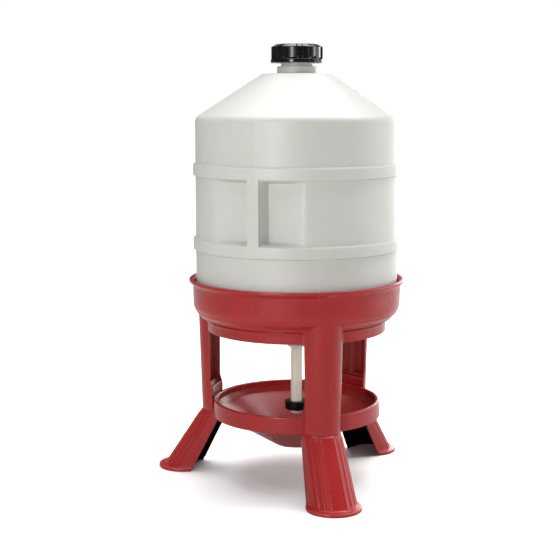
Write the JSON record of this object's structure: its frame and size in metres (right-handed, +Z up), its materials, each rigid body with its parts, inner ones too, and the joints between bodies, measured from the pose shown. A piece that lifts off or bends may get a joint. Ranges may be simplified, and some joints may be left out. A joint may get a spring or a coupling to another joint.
{
  "type": "poultry siphon drinker",
  "caption": "Top-fill siphon drinker: airtight cone-top tank on a three-legged stand feeds a round trough through a twist valve.",
  "frame": {"origin": "on the tank's axis at floor level, in the plane the three feet stand on", "axes": "+Z up along the tank's axis, -Y towards the front leg, +X to the right seen from the front"},
  "size_m": [0.437, 0.4254, 0.7249],
  "materials": {
    "tank_plastic": "satin, slightly translucent natural polyethylene",
    "tube_plastic": "satin translucent ivory plastic",
    "stand_plastic": "satin to gloss moulded red plastic",
    "cap_plastic": "satin moulded black plastic",
    "valve_plastic": "satin moulded black plastic",
    "seal_rubber": "soft matt rubber"
  },
  "bodies": {
    "stand": {"stand_ring": "stand_plastic", "leg_front": "stand_plastic", "leg_left": "stand_plastic", "leg_right": "stand_plastic", "foot_front": "stand_plastic", "foot_left": "stand_plastic", "foot_right": "stand_plastic"},
    "tray": {"tray": "stand_plastic"},
    "tank": {"tank": "tank_plastic", "down_tube": "tube_plastic", "tube_plug": "tube_plastic"},
    "cap_seal": {"cap_gasket": "seal_rubber"},
    "cap": {"filler_cap": "cap_plastic"},
    "valve_seals": {"valve_seal_upper": "seal_rubber", "valve_seal_lower": "seal_rubber"},
    "valve": {"valve_collar": "valve_plastic"}
  },
  "joints": [
    {"name": "tank_lift", "type": "slide", "parent": "stand", "child": "tank", "axis": [0, 0, 1], "range_m": [0, 0.25]},
    {"name": "tray_lift", "type": "slide", "parent": "stand", "child": "tray", "axis": [0, 0, 1], "range_m": [0, 0.04]},
    {"name": "cap_rise", "type": "slide", "parent": "tank", "child": "cap_seal", "axis": [0, 0, 1], "range_m": [0, 0.02]},
    {"name": "cap_turn", "type": "hinge", "parent": "cap_seal", "child": "cap", "pos_m": [0, 0, 0.71], "axis": [0, 0, 1], "range_deg": [0, 1440]},
    {"name": "valve_slide", "type": "slide", "parent": "tank", "child": "valve_seals", "axis": [0, 0, -1], "range_m": [0, 0.006]},
    {"name": "valve_turn", "type": "hinge", "parent": "valve_seals", "child": "valve", "pos_m": [0, 0, 0.12], "axis": [0, 0, -1], "range_deg": [0, 180]}
  ],
  "couplings": [
    {"joint": "cap_rise", "follows": "cap_turn", "m_per_rad": 0.00079577},
    {"joint": "valve_slide", "follows": "valve_turn", "m_per_rad": 0.0019099}
  ]
}
